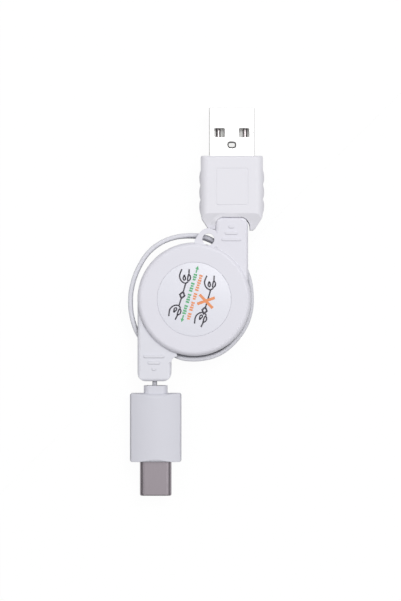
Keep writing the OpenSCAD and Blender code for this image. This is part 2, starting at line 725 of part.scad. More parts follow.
// Inner moulding, with the small board and its resistor cast in
c_core_w = c_shell_w + 0.6;
c_core_h = c_shell_h + 0.7;
board_w = c_shell_w - 1.2;
board_l = 5.6;
board_t = 0.8;
board_in_shell = 1.6;
module c_board_box(grow) {
    translate([-board_w / 2 - grow, c_rear + board_in_shell - board_l - grow, -board_t / 2 - grow])
        cube([board_w + 2 * grow, board_l + 2 * grow, board_t + 2 * grow]);
}
module usb_c_board() {
    color("#2f6b4a") at_c() c_board_box(0);
}
resistor_w = 1;
resistor_l = 0.5;
resistor_t = 0.35;
module c_resistor_box(grow) {
    translate([board_w / 6 - grow, c_rear - 2.4 - grow, board_t / 2])
        cube([resistor_w + 2 * grow, resistor_l + 2 * grow, resistor_t + grow]);
}
module usb_c_resistor() {
    color("#2a2a2a") at_c() c_resistor_box(0);
}

module usb_c_core() {
    color("#d8d6cc") at_c() difference() {
        along_y(c_rear - c_core_l, c_rear) square([c_core_w, c_core_h], center = true);
        c_board_box(0);
        c_resistor_box(0.02);
    }
}

// Drawn shell: one seamless tube with a rounded mouth
c_in_w = c_shell_w - 2 * c_sheet;
c_in_h = c_shell_h - 2 * c_sheet;
c_mouth_r = 0.35;
module usb_c_shell() {
    color("#a0989e") at_c() difference() {
        intersection() {
            along_y(c_rear, c_tip) round_rect(c_shell_w, c_shell_h, c_shell_h / 2 - 0.01);
            translate([0, (c_rear + c_tip) / 2, -c_shell_h]) linear_extrude(2 * c_shell_h)
                round_rect(c_shell_w, c_tip - c_rear, c_mouth_r);
        }
        along_y(c_rear - 1, c_tip + 1) round_rect(c_in_w, c_in_h, c_in_h / 2 - 0.01);
    }
}

// Insulator: fills the shell's rear and lines the mouth, with a slot for the socket's tongue
c_mouth_l = 6.2;
c_slot_w = 6.2;
c_slot_h = 0.84;
module usb_c_housing() {
    color("#26262a") at_c() difference() {
        along_y(c_rear, c_tip - c_mouth_r - 0.1)
            round_rect(c_in_w - fit_gap, c_in_h - fit_gap, c_in_h / 2 - fit_gap);
        translate([-c_slot_w / 2, c_tip - c_mouth_l, -c_slot_h / 2])
            cube([c_slot_w, 2 * c_mouth_l, c_slot_h]);
        c_board_box(0.01);
        for (side = [-1, 1]) for (x = c_contact_x) c_contact_box(x, side, fit_gap);
        c_latch_shape(fit_gap);
    }
}

// Spring contacts above and below the mouth
c_contact_x = [-2.75, -1.25, -0.25, 0.25, 1.25, 2.75];
c_contact_w = 0.24;
c_contact_t = 0.18;
module c_contact_box(x, side, grow) {
    y0 = c_rear + board_in_shell;
    z = side * (c_slot_h + c_contact_t + 2 * fit_gap) / 2;
    translate([x - c_contact_w / 2 - grow, y0, z - c_contact_t / 2 - grow])
        cube([c_contact_w + 2 * grow, c_tip - 1.2 - y0 + grow, c_contact_t + 2 * grow]);
}
module usb_c_upper_contacts() {
    color(gold) at_c() for (x = c_contact_x) c_contact_box(x, 1, 0);
}
module usb_c_lower_contacts() {
    color(gold) at_c() for (x = c_contact_x) c_contact_box(x, -1, 0);
}

// Plate between the contact rows, with a latch arm on each side of the mouth
c_latch_w = 7;
c_latch_t = 0.2;
c_latch_arm = 0.4;
module c_latch_shape(grow) {
    y0 = c_rear + board_in_shell + 0.15 - grow;
    translate([-c_latch_w / 2 - grow, y0, -c_latch_t / 2 - grow])
        cube([c_latch_w + 2 * grow, c_tip - c_mouth_l - 0.3 - y0 + grow, c_latch_t + 2 * grow]);
    for (x = [-c_latch_w / 2, c_latch_w / 2 - c_latch_arm])
        translate([x - grow, y0, -c_latch_t / 2 - grow])
            cube([c_latch_arm + 2 * grow, c_tip - 1.4 - y0 + grow, c_latch_t + 2 * grow]);
}
module usb_c_latch() {
    color(steel) at_c() c_latch_shape(0);
}

front_shell();
rear_shell();
front_label();
cable_lead_a();
cable_lead_c();
spool();
spool_cap();
power_spring();
cable_coil();
latch_ball();
usb_a_grip();
usb_a_core();
usb_a_shell();
usb_a_tongue();
usb_a_contact_1();
usb_a_contact_2();
usb_a_contact_3();
usb_a_contact_4();
usb_c_grip();
usb_c_core();
usb_c_shell();
usb_c_housing();
usb_c_upper_contacts();
usb_c_lower_contacts();
usb_c_latch();
usb_c_board();
usb_c_resistor();
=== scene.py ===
# %% [markdown]
# # A retractable charging cable, dressed in Blender
# The model that comes from CAD is loaded as a fixed frame: every solid has its true place and size,
# and every moving body has its joint. This lesson adds what CAD leaves out: soft mouldings, the
# rounded jacket of the flat cable, the print on the label, and a material for every surface.

# %% Load the frame
import bpy
import bmesh
import math
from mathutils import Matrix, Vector


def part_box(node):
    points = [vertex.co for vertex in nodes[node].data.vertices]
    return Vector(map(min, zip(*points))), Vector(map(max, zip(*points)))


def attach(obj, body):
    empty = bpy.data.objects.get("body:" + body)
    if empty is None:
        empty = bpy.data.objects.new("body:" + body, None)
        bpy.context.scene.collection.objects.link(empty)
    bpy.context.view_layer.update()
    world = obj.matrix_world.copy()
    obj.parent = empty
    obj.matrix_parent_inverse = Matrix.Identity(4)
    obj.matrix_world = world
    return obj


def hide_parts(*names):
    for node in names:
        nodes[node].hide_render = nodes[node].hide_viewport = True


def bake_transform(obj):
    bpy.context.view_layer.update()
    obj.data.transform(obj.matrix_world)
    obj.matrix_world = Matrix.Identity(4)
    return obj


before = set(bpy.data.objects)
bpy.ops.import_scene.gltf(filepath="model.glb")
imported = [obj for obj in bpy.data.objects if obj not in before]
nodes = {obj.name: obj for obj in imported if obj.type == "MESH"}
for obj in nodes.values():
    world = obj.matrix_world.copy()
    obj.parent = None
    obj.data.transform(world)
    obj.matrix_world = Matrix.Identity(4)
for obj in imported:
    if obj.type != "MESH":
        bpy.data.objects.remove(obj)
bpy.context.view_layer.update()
print("CAD nodes:", len(nodes))

# %% [markdown]
# ## Small helpers
# Blender works in metres, and this object is a hand's length long, so every size below is written in
# millimetres and multiplied by one value. Colours are chosen as sRGB hex values, as a painter's card
# gives them, while Blender's sockets want linear light, so one function turns them over. The other
# helpers make the few groups of nodes that most of the materials share.

# %% Units, colours and nodes
MM = 0.001


def linear(hex_colour):
    """The linear colour of an sRGB hex value."""
    parts = [int(hex_colour[i:i + 2], 16) / 255 for i in (1, 3, 5)]
    return [c / 12.92 if c <= 0.04045 else ((c + 0.055) / 1.055) ** 2.4 for c in parts] + [1.0]


def add(tree, kind, at, settings=None, **sockets):
    """Adds a node, sets its options, and fills each named socket with a value or another socket."""
    node = tree.nodes.new(kind)
    node.location = at
    for option, value in (settings or {}).items():
        setattr(node, option, value)
    for name, value in sockets.items():
        socket = node.inputs[name.replace("_", " ")]
        if isinstance(value, bpy.types.NodeSocket):
            tree.links.new(value, socket)
        else:
            socket.default_value = value
    return node


def per_mm(size):
    """The texture scale at which one feature is that many millimetres wide."""
    return 1 / (size * MM)


def new_material(name):
    """An empty material, with the tree that its nodes go into."""
    material = bpy.data.materials.new(name)
    material.use_nodes = True
    material.node_tree.nodes.clear()
    return material, material.node_tree


def two_colours(tree, at, amount, first, second):
    """Mixes two colours by a socket. A colour mix takes its factor in slot 0, its colours in 6 and 7."""
    node = add(tree, "ShaderNodeMix", at, {"data_type": "RGBA"})
    tree.links.new(amount, node.inputs[0])
    node.inputs[6].default_value = first
    node.inputs[7].default_value = second
    return node.outputs[2]


def combine(tree, at, operation, first, second):
    """One sum on two sockets, such as their product or the larger of them."""
    node = add(tree, "ShaderNodeMath", at, {"operation": operation})
    tree.links.new(first, node.inputs[0])
    tree.links.new(second, node.inputs[1])
    return node.outputs[0]


def rounded_bump(tree, height, strength, depth, edge):
    """A surface direction with rounded edges and a fine bump; depth and edge are in millimetres."""
    rounded = add(tree, "ShaderNodeBevel", (-700, -550), {"samples": 6}, Radius=edge * MM)
    bump = add(tree, "ShaderNodeBump", (-450, -350), Height=height,
               Strength=strength, Distance=depth * MM, Normal=rounded.outputs["Normal"])
    return bump.outputs["Normal"]


print("white plastic in linear light:", [round(c, 3) for c in linear("#E6E5EE")])

# %% [markdown]
# ## The camera
# The photograph looks straight down on the cable as it lies on its back, from far enough away that
# both plugs are seen without perspective. A long lens does the same. The long side of the picture
# covers the sensor's width, so the distance follows from the size of the field.

# %% Camera
PIXELS_PER_MM = 3.83
REEL_PIXEL = (194.2, 299.3)
PICTURE = (401, 601)
FACE_Z = 8.0
LENS = 120

camera = bpy.data.objects.new("camera", bpy.data.cameras.new("camera"))
bpy.context.scene.collection.objects.link(camera)
camera.data.lens = LENS
camera.data.sensor_width = 36
field = PICTURE[1] / PIXELS_PER_MM
distance = field * LENS / camera.data.sensor_width
camera.location = (
    (PICTURE[0] / 2 - REEL_PIXEL[0]) / PIXELS_PER_MM * MM,
    (REEL_PIXEL[1] - PICTURE[1] / 2) / PIXELS_PER_MM * MM,
    (FACE_Z + distance) * MM,
)
camera.data.clip_start = 0.01
bpy.context.scene.camera = camera
print(f"camera {distance:.0f} mm above the casing's face, field {field:.1f} mm")

# %% [markdown]
# ## Finishes
# Almost everything here is white, so the finishes differ in gloss and in grain more than in colour.
# Moulded plastic takes its surface from the mould: a fine spark-eroded grain breaks up the
# reflections and makes them satin. The bump's scale is the real grain of such a mould, a few
# hundredths of a millimetre, drawn a little coarser so that a close view shows it. A second, wide
# noise tints the plastic where it flowed. The Bevel node rounds the light on the sharp CAD edges by
# the small radius that every mould has. Light hardly reaches into a narrow gap, so some finishes
# have shade painted there: an Ambient Occlusion node darkens their colour within a reach set per finish.

# %% Moulded plastic
FLOW_MM = 9


def moulded_plastic(name, hex_colour, roughness, grain=0.12, depth=0.004, edge=0.15, tint=0.03,
                    painted_shade_reach=None):
    """Satin plastic; the sizes of its grain, bump, edge radius and painted shade's reach are in
    millimetres.
    """
    material, tree = new_material(name)
    place = add(tree, "ShaderNodeTexCoord", (-1200, 0))
    grains = add(tree, "ShaderNodeTexNoise", (-900, -300), Vector=place.outputs["Object"],
                 Scale=per_mm(grain), Detail=2.0, Roughness=0.6)
    flow = add(tree, "ShaderNodeTexNoise", (-900, 200), Vector=place.outputs["Object"],
               Scale=per_mm(FLOW_MM), Detail=3.0, Roughness=0.5)
    bright = linear(hex_colour)
    dark = [c * (1 - tint) for c in bright[:3]] + [1]
    colour = two_colours(tree, (-500, 250), flow.outputs["Fac"], bright, dark)
    gloss = add(tree, "ShaderNodeMapRange", (-500, 0), Value=grains.outputs["Fac"],
                To_Min=roughness - 0.05, To_Max=roughness + 0.05)
    normal = rounded_bump(tree, grains.outputs["Fac"], 0.5, depth, edge)
    # Painted shade: an Ambient Occlusion node darkens the colour in narrow gaps.
    if painted_shade_reach:
        painted_shade = add(tree, "ShaderNodeAmbientOcclusion", (-320, 400), {"samples": 6},
                   Color=colour, Distance=painted_shade_reach * MM)
        colour = painted_shade.outputs["Color"]
    plastic = add(tree, "ShaderNodeBsdfPrincipled", (-100, 100), Base_Color=colour,
                  Roughness=gloss.outputs["Result"], IOR=1.53, Normal=normal)
    add(tree, "ShaderNodeOutputMaterial", (200, 100), Surface=plastic.outputs["BSDF"])
    return material


# The rear shell takes the front shell's white a little darker, and the USB-C grip takes the USB-A grip's
# white darker still, so the lower arm and the small plug come out darker.
abs_white = moulded_plastic("abs_satin_white", "#E6E5EE", 0.42, edge=0.14)
abs_white_darker = moulded_plastic("abs_satin_white_darker", "#E4E4EC", 0.42, edge=0.2)
tpe_white = moulded_plastic("tpe_overmould_white", "#EBEAF1", 0.5, grain=0.16, edge=0.25)
tpe_lip = moulded_plastic("tpe_overmould_lip", "#EBEAF1", 0.5, grain=0.16, edge=0.08)
tpe_white_darker = moulded_plastic("tpe_overmould_white_darker", "#DADAE3", 0.5, grain=0.16, edge=0.2)
acetal = moulded_plastic("acetal_natural_white", "#EEEEEC", 0.35, grain=0.2)
# The insulator's colour gets painted shade in the narrow moat round its boss.
pbt_white = moulded_plastic("pbt_insulator_white", "#F2F2F0", 0.4, grain=0.1, edge=0.05, painted_shade_reach=0.9)
lcp_black = moulded_plastic("lcp_insulator_black", "#26262A", 0.45, grain=0.1, edge=0.03)
inner_mould = moulded_plastic("polyethylene_inner_mould", "#D8D6CC", 0.5, grain=0.3, edge=0.1)
resistor_body = moulded_plastic("resistor_enamel_black", "#262626", 0.4, grain=0.05, edge=0.03)
print("plastics:", [m.name for m in bpy.data.materials])

# %% [markdown]
# The jacket of the flat cable is soft, so it is duller and coarser than the casing. Its slack turns
# lie close to the casing, where shade is painted into their colour. The coil and the two leads share it.

# %% Cable jacket
jacket = moulded_plastic("tpe_cable_jacket", "#E2E2EA", 0.5, grain=0.25, depth=0.006, edge=0.3,
                         tint=0.05, painted_shade_reach=1.4)
print("cable jacket:", jacket.name)

# %% [markdown]
# The plugs' shells are steel strip with a bright plating, rolled or drawn to shape. Drawing leaves
# faint streaks along the plug, so a noise is stretched along Y and used in the roughness and in a
# very shallow bump. A metal's colour is its reflection, so the darker finish of the small plug is
# made by a darker base colour. The plate on the two shells has soft, wide edges, and the contacts
# have sharp ones.

# %% Plated metal
STRETCH = 0.04


def plated_metal(name, hex_colour, roughness, streak=0.18, depth=0.002, edge=0.05):
    """Bright plated metal with drawing marks along Y, streak millimetres apart."""
    material, tree = new_material(name)
    place = add(tree, "ShaderNodeTexCoord", (-1300, 0))
    stretch = add(tree, "ShaderNodeMapping", (-1100, 0), Vector=place.outputs["Object"],
                  Scale=(1, STRETCH, 1))
    streaks = add(tree, "ShaderNodeTexNoise", (-900, 0), Vector=stretch.outputs["Vector"],
                  Scale=per_mm(streak), Detail=3.0, Roughness=0.6)
    bright = linear(hex_colour)
    dark = [c * 0.94 for c in bright[:3]] + [1]
    colour = two_colours(tree, (-500, 250), streaks.outputs["Fac"], dark, bright)
    gloss = add(tree, "ShaderNodeMapRange", (-500, 0), Value=streaks.outputs["Fac"],
                To_Min=roughness - 0.04, To_Max=roughness + 0.06)
    normal = rounded_bump(tree, streaks.outputs["Fac"], 0.3, depth, edge)
    metal = add(tree, "ShaderNodeBsdfPrincipled", (-150, 100), Base_Color=colour, Metallic=1.0,
                Roughness=gloss.outputs["Result"], Normal=normal)
    add(tree, "ShaderNodeOutputMaterial", (200, 100), Surface=metal.outputs["BSDF"])
    return material


bright_plate = plated_metal("nickel_plated_steel_bright", "#FAF9F9", 0.13, edge=0.3)
dull_plate = plated_metal("nickel_plated_steel_dull", "#9B9399", 0.3, edge=0.5)
contact_nickel = plated_metal("nickel_plated_contacts", "#C2BBBC", 0.22, streak=0.1)
gold = plated_metal("gold_plated_bronze", "#E0BD6A", 0.2, streak=0.1)
spring_steel = plated_metal("blued_spring_steel", "#9A9CA2", 0.28, streak=0.3)
ball_steel = plated_metal("ground_steel_ball", "#C9C9CC", 0.12, streak=0.1)
print("plastics and metals:", len(bpy.data.materials))

# %% [markdown]
# The small circuit board inside the USB-C plug is glass cloth in green epoxy. It is cast into the
# inner moulding and never seen, but it gets its finish all the same. A woven pattern comes from two
# crossed wave textures, with a pitch of about a millimetre.

# %% Board laminate
# A wave texture has about 3.2 waves to its unit, so this unit gives a pitch of a millimetre.
WEAVE_UNIT = 3.15

laminate, tree = new_material("glass_epoxy_green")
place = add(tree, "ShaderNodeTexCoord", (-1000, 0))
threads = []
for direction, height in (("X", 150), ("Y", -150)):
    wave = add(tree, "ShaderNodeTexWave", (-700, height), {"bands_direction": direction},
               Vector=place.outputs["Object"], Scale=per_mm(WEAVE_UNIT))
    threads.append(wave.outputs["Fac"])
woven = combine(tree, (-450, 0), "MULTIPLY", *threads)
greens = two_colours(tree, (-250, 0), woven, linear("#2A5E42"), linear("#357352"))
epoxy = add(tree, "ShaderNodeBsdfPrincipled", (0, 0), Base_Color=greens, Roughness=0.35, IOR=1.55)
add(tree, "ShaderNodeOutputMaterial", (300, 0), Surface=epoxy.outputs["BSDF"])
print("board laminate:", laminate.name)

# %% [markdown]
# ## Dressing the CAD nodes
# A CAD solid whose shape is right keeps it and only gets a finish. Pieces that share a material in
# the real object share it here too.

# %% Give every CAD node its finish
FINISH = {
    "front_shell": abs_white, "rear_shell": abs_white_darker,
    "cable_lead_a": jacket, "cable_lead_c": jacket, "cable_coil": jacket,
    "spool": acetal, "spool_cap": acetal, "power_spring": spring_steel, "latch_ball": ball_steel,
    "usb_a_grip": tpe_white, "usb_a_core": inner_mould,
    "usb_a_shell": bright_plate, "usb_a_tongue": pbt_white,
    "usb_c_grip": tpe_white_darker, "usb_c_core": inner_mould,
    "usb_c_shell": dull_plate, "usb_c_housing": lcp_black, "usb_c_latch": spring_steel,
    "usb_c_upper_contacts": gold, "usb_c_lower_contacts": gold,
    "usb_c_board": laminate, "usb_c_resistor": resistor_body,
}
for i in range(1, 5):
    FINISH[f"usb_a_contact_{i}"] = contact_nickel


def dress(piece, material):
    """Gives a piece one material in all its slots."""
    if not piece.material_slots:
        piece.data.materials.append(material)
    for slot in piece.material_slots:
        slot.material = material


for name, material in FINISH.items():
    dress(nodes[name], material)
print("dressed", len(FINISH), "CAD nodes")

# %% [markdown]
# ## The label
# A round sheet of coated film lies in the casing's recess. Its print shows how the cable is pulled
# out: one drawing of two hands at the ends of the cord, and one with a hand at the reel, crossed out.
# A green arrow and an orange cross explain them. Each line is a ribbon of ink a few hundredths of a
# millimetre above the film, because real ink is a thin layer on top of it too.

# %% Label film and inks
film = moulded_plastic("polyester_film_white", "#E9E9F2", 0.3, grain=0.4, depth=0.001, edge=0.05,
                       tint=0.015)
ink_dark, ink_green, ink_orange = (
    moulded_plastic(f"screen_ink_{name}", hex_colour, 0.4, grain=0.1, depth=0.001, edge=0.02)
    for name, hex_colour in (("dark", "#2F2A38"), ("green", "#5BB67C"), ("orange", "#F0965E"))
)
label_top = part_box("front_label")[1].z / MM
print(f"the label's face is {label_top:.2f} mm up")


# %% Smooth lines and ribbons of ink
def smooth(points, steps=5):
    """A smooth line through the points, each a pair of x and y in millimetres."""
    ends = [points[0]] + list(points) + [points[-1]]
    line = []
    for i in range(1, len(points)):
        a, b, c, d = (Vector(ends[i + k]) for k in (-1, 0, 1, 2))
        straight, bend, twist = c - a, 2 * a - 5 * b + 4 * c - d, 3 * b - a - 3 * c + d
        for j in range(steps):
            t = j / steps
            line.append(0.5 * (2 * b + straight * t + bend * t * t + twist * t ** 3))
    return line + [Vector(points[-1])]


def sideways(line, i):
    """The unit vector to the left of the line at its point i."""
    along = (line[min(i + 1, len(line) - 1)] - line[max(i - 1, 0)]).normalized()
    return Vector((-along.y, along.x))


def ribbon(mesh, line, width, z):
    """Adds a flat strip along the line."""
    pairs = []
    for i, p in enumerate(line):
        off = sideways(line, i) * width / 2
        pairs.append([mesh.verts.new((*((p + s * off) * MM), z * MM)) for s in (1, -1)])
    for (a, b), (c, d) in zip(pairs, pairs[1:]):
        mesh.faces.new((a, b, d, c))


def polygon(mesh, points, z):
    """Adds one flat face."""
    mesh.faces.new([mesh.verts.new((x * MM, y * MM, z * MM)) for x, y in points])


def finish_piece(name, mesh, material, body, smooth_faces=True):
    """Turns a bmesh into an object of the scene; with a body named, it rides on that body."""
    bmesh.ops.recalc_face_normals(mesh, faces=mesh.faces)
    data = bpy.data.meshes.new(name)
    mesh.to_mesh(data)
    mesh.free()
    piece = bpy.data.objects.new(name, data)
    bpy.context.scene.collection.objects.link(piece)
    data.materials.append(material)
    for face in data.polygons:
        face.use_smooth = smooth_faces
    if body:
        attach(piece, body)
    return piece


print("a smooth line through three points has", len(smooth([(0, 0), (1, 1), (2, 0)])), "points")

# %% [markdown]
# One hand is drawn once, with the cord leaving at its origin, and placed four times. The lower hands
# are the same drawing turned over and tilted. Each stroke is a handful of listed points.

# %% Hands and reels
INK_Z = label_top + 0.02
INK_STEP = 0.001
LINE_W = 0.36
HAND = [
    [(-1.0, 3.7), (-1.6, 2.0), (-1.2, 0.7), (-0.2, 0.05), (0.7, 0.4)],
    [(0.9, 3.7), (0.85, 2.4)],
    [(0.8, 2.4), (1.25, 1.7), (1.05, 0.9), (0.55, 0.7), (0.55, 1.5), (0.8, 2.4)],
    [(-0.35, 2.2), (-0.68, 1.3), (-0.38, 0.85), (-0.05, 1.2), (-0.35, 2.2)],
]
LOW_TILT = math.radians(-29)
REEL_TILT = math.radians(75)
REEL_SIZES = ((1.25, 0.92), (0.5, 0.36))

dark = bmesh.new()
ink_heights = (INK_Z + INK_STEP * k for k in range(99))


def next_ink_z():
    """Each stroke lies a hair above the one before, so that crossings stay clean."""
    return next(ink_heights)


def draw_hand(origin, lower):
    """Draws the strokes of one hand with its cord at the origin."""
    for stroke in HAND:
        moved = []
        for x, y in stroke:
            if lower:
                y = -y
                x, y = (x * math.cos(LOW_TILT) - y * math.sin(LOW_TILT),
                        x * math.sin(LOW_TILT) + y * math.cos(LOW_TILT))
            moved.append((origin[0] + x, origin[1] + y))
        ribbon(dark, smooth(moved), LINE_W, next_ink_z())


def draw_reel(centre):
    """Draws the reel as a tall diamond with a hole, in line with the cord."""
    corners = []
    for half_sizes in REEL_SIZES:
        for k, size in enumerate(half_sizes * 2):
            turn = REEL_TILT + k * math.pi / 2
            corners.append((centre[0] + size * math.cos(turn), centre[1] + size * math.sin(turn)))
    for k in range(4):
        n = (k + 1) % 4
        polygon(dark, [corners[k], corners[n], corners[4 + n], corners[4 + k]], INK_Z)


print(f"the ink lies {INK_Z - label_top:.2f} mm above the film, in lines {LINE_W} mm wide")

# %% [markdown]
# The cord joins each pair of hands through their reel, and leaves the reel's diamond clear. Where a
# hand is that close to the reel, no cord is left to draw.

# %% Two pictures
PICTURES = [
    {"top": (-2.2, 4.15), "low": (-3.95, -1.65), "reel": (-3.1, 1.1)},
    {"top": (4.3, 2.45), "low": (2.75, -3.55), "reel": (2.7, -2.9)},
]
REEL_CLEAR = 0.9

for picture in PICTURES:
    draw_hand(picture["top"], lower=False)
    draw_hand(picture["low"], lower=True)
    draw_reel(picture["reel"])
    cord = [Vector(picture["top"]), Vector(picture["reel"]), Vector(picture["low"])]
    for a, b in zip(cord, cord[1:]):
        gap = (b - a).normalized() * REEL_CLEAR
        start, stop = (a, b - gap) if b == cord[1] else (a + gap, b)
        if (stop - start).dot(b - a) > 0:
            ribbon(dark, [start, stop], LINE_W, next_ink_z())
finish_piece("label_ink_dark", dark, ink_dark, "casing", smooth_faces=False)
print("pictures drawn:", len(PICTURES))

# %% [markdown]
# The small print is left as rows of plain upright strokes in groups, without any letter. The green
# arrow has a head at both ends and its row of strokes between them. An orange row stands beside
# it, and an orange cross strikes out the second picture.

# %% Arrow, cross and rows of strokes
TALL, SHORT = 0.46, 0.36
STROKE_SHARE = 0.72
GROUP_GAP = 0.7
ARROW = [Vector((-3.3, -5.95)), Vector((1.02, 8.7))]
SHAFT = 1.9
SHAFT_W = 0.34
HEAD_L, HEAD_HALF = 0.9, 0.48
ROW_START = SHAFT + 0.2
CROSS_W = 0.72
CROSS_Z = INK_Z + 0.02


def stroke_row(mesh, start, stop, groups):
    """Upright strokes in groups along a line, as small print looks from afar."""
    along = (stop - start).normalized()
    across = Vector((-along.y, along.x))
    pitch = (stop - start).length / (sum(groups) + GROUP_GAP * (len(groups) - 1))
    place = 0.5
    for group in groups:
        for k in range(group):
            p = start + along * place * pitch
            reach = across * (TALL if (k + group) % 3 else SHORT)
            ribbon(mesh, [p - reach, p + reach], STROKE_SHARE * pitch, INK_Z)
            place += 1
        place += GROUP_GAP


green = bmesh.new()
along = (ARROW[1] - ARROW[0]).normalized()
across = Vector((-along.y, along.x))
for tip, way in ((ARROW[0], -1), (ARROW[1], 1)):
    foot = tip - along * way * HEAD_L
    polygon(green, [tip, foot + across * HEAD_HALF, foot - across * HEAD_HALF], INK_Z)
    ribbon(green, [foot, tip - along * way * SHAFT], SHAFT_W, INK_Z)
stroke_row(green, ARROW[0] + along * ROW_START, ARROW[1] - along * ROW_START, (4, 4, 4, 3))
finish_piece("label_ink_green", green, ink_green, "casing", smooth_faces=False)

orange = bmesh.new()
stroke_row(orange, Vector((-1.6, -5.35)), Vector((1.85, 6.4)), (3, 4, 3, 7))
ribbon(orange, [Vector((1.4, 1.25)), Vector((4.8, -2.3))], CROSS_W, CROSS_Z)
ribbon(orange, [Vector((0.8, -1.2)), Vector((5.35, 0.4))], CROSS_W, CROSS_Z + 0.01)
finish_piece("label_ink_orange", orange, ink_orange, "casing", smooth_faces=False)
print("label printed")

# %% [markdown]
# The film itself is a thin disc with a rounded cut edge. It fills its recess almost to the wall, so
# only a faint line is left round it. The same turned shape, very small, fills the corner between
# the eyelet, the arm and the disc, where the mould has a generous fillet.

# %% Turned pieces
FILM_R, FILM_T = 9.645, 0.3
FILM_EDGE, EDGE_STEPS = 0.1, 4
ARM_FACE = 9.4
CORNER, CORNER_R = (5.98, 13.7), 0.9


def turned(name, centre, outline, material, sides):
    """A solid of revolution about a vertical axis, from (radius, height) pairs listed top to bottom."""
    mesh = bmesh.new()
    rings = []
    for r, z in outline:
        ring = []
        for k in range(sides):
            turn = 2 * math.pi * k / sides
            ring.append(mesh.verts.new(((centre[0] + r * math.cos(turn)) * MM,
                                        (centre[1] + r * math.sin(turn)) * MM, z * MM)))
        rings.append(ring)
    for a, b in zip(rings, rings[1:]):
        for k in range(sides):
            mesh.faces.new((a[k], a[(k + 1) % sides], b[(k + 1) % sides], b[k]))
    mesh.faces.new(rings[0])
    mesh.faces.new(list(reversed(rings[-1])))
    return finish_piece(name, mesh, material, "casing")


film_outline = []
for k in range(EDGE_STEPS + 1):
    turn = math.radians(90 * k / EDGE_STEPS)
    film_outline.append((FILM_R - FILM_EDGE * (1 - math.sin(turn)),
                         label_top - FILM_EDGE * (1 - math.cos(turn))))
film_outline.append((FILM_R, label_top - FILM_T))
label_film = turned("front_label_film", (0, 0), film_outline, film, 128)
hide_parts("front_label")
fillet_outline = [(CORNER_R, ARM_FACE - 0.02), (CORNER_R + 0.05, 8.5)]
turned("front_shell_corner_fillet", CORNER, fillet_outline, abs_white, 24)
print("film and corner fillet turned")

# %% [markdown]
# ## The cable's jacket
# The cable is a flat cord on edge: 1.2 mm thick and 3.1 mm wide with round edges. A rounded section
# is swept along the same route that the CAD solid follows, so the new piece lies on it wherever it
# stands upright. Each lead ends inside its plug and starts beside the coil. The swept piece is tied
# to no body. A lean tips the section sideways: the point at the pivot's height stays on the
# route, and the rest shifts in step with its distance from there.

# %% Sweep and loft helpers
CABLE_T, CABLE_W, CABLE_R = 1.2, 3.1, 0.45
lead_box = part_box("cable_lead_a")
CABLE_Z = (lead_box[0].z + lead_box[1].z) / 2 / MM


def rounded_section(w, h, r, steps=4):
    """A rectangle with round corners, as a closed ring of points."""
    ring = []
    for cx, cy, start in ((1, 1, 0), (-1, 1, 90), (-1, -1, 180), (1, -1, 270)):
        for k in range(steps + 1):
            a = math.radians(start + 90 * k / steps)
            ring.append((cx * (w / 2 - r) + r * math.cos(a), cy * (h / 2 - r) + r * math.sin(a)))
    return ring


def bridge(mesh, rings):
    """Joins rings of points into a closed skin with a cap at each end."""
    made = [[mesh.verts.new(p) for p in ring] for ring in rings]
    n = len(made[0])
    for a, b in zip(made, made[1:]):
        for k in range(n):
            mesh.faces.new((a[k], a[(k + 1) % n], b[(k + 1) % n], b[k]))
    mesh.faces.new(made[0])
    mesh.faces.new(list(reversed(made[-1])))


def cable(name, line, lean, pivot=0.5):
    """The jacket along a line; it leans about a height given as a share of its width from the middle."""
    section = rounded_section(CABLE_T, CABLE_W, CABLE_R)
    rings = []
    for i, p in enumerate(line):
        off = sideways(line, i)
        ring = []
        for u, v in section:
            across = u + lean(p) * (pivot - v / CABLE_W)
            ring.append(((p.x + off.x * across) * MM, (p.y + off.y * across) * MM, (CABLE_Z + v) * MM))
        rings.append(ring)
    mesh = bmesh.new()
    bridge(mesh, rings)
    return finish_piece(name, mesh, jacket, None)


print(f"the cable's middle plane is {CABLE_Z:.2f} mm up")

# %% [markdown]
# The routes are the CAD model's own points, in millimetres from the reel's axis. The slack turns don't
# stand quite upright: where they pass under the casing's rim and behind the eyelet, their rear edge
# lies further in than their front edge. The turn of the USB-A lead pivots on its front edge, so only
# its rear edge moves. The turn of the USB-C lead pivots just behind its middle, so its two edges
# move in opposite directions.

# %% The two leads
ROUTE_A = [(-5.75, 12.4), (-9.65, 9.65), (-12.3, 5.8), (-13.7, 0), (-12.7, -5.8), (-10.2, -10.1),
           (-7.1, -13.4), (-3.7, -15.3), (0, -15.75), (3.8, -15.3), (6.9, -14.1), (9.5, -12.15),
           (11.65, -9.8), (13.4, -7.1), (14.5, -4.15), (15, -1.05), (14.9, 2.1), (14.4, 5.25),
           (13, 9), (11.4, 12), (10.25, 14.6), (9.9, 17)]
ROUTE_C = [(5.75, -12.4), (9.65, -9.65), (12.35, -5.85), (13.55, -0.1), (12.8, 4.7), (10.9, 8.6),
           (8.7, 11.4), (6.5, 13.9), (4.1, 15.6), (0.9, 16.5), (-2.9, 16.55), (-6.4, 15.85),
           (-9.65, 14.25), (-12.3, 11.9), (-14.25, 8.9), (-15.65, 5.7), (-16.5, 2.3),
           (-16.7, -1.2), (-16.3, -4.65), (-15, -8.6), (-12.6, -12), (-10.9, -14.7),
           (-10.4, -17.4)]
LEAN = 0.5
RIM_Y, RIM_FADE = -12.5, 2
EYELET_X, EYELET_REACH, UPPER_Y = 3.5, 9, 11
A_ENDS = [(9.82, 20.6), (9.8, 21.0), (9.8, 21.3), (9.8, 21.6), (9.8, 23.4)]
C_ENDS = [(-10.35, -20.6), (-10.35, -21.1), (-10.35, -21.8), (-10.35, -22.4), (-10.3, -24.2)]


def lean_below(p):
    """How far the slack turn leans where it passes under the casing's lower rim."""
    return LEAN * min(1.0, max(0.0, (RIM_Y - p.y) / RIM_FADE))


def lean_above(p):
    """How far the slack turn leans behind the key eyelet, most at the eyelet's hole."""
    return LEAN * max(0.0, 1 - abs(p.x - EYELET_X) / EYELET_REACH) if p.y > UPPER_Y else 0.0


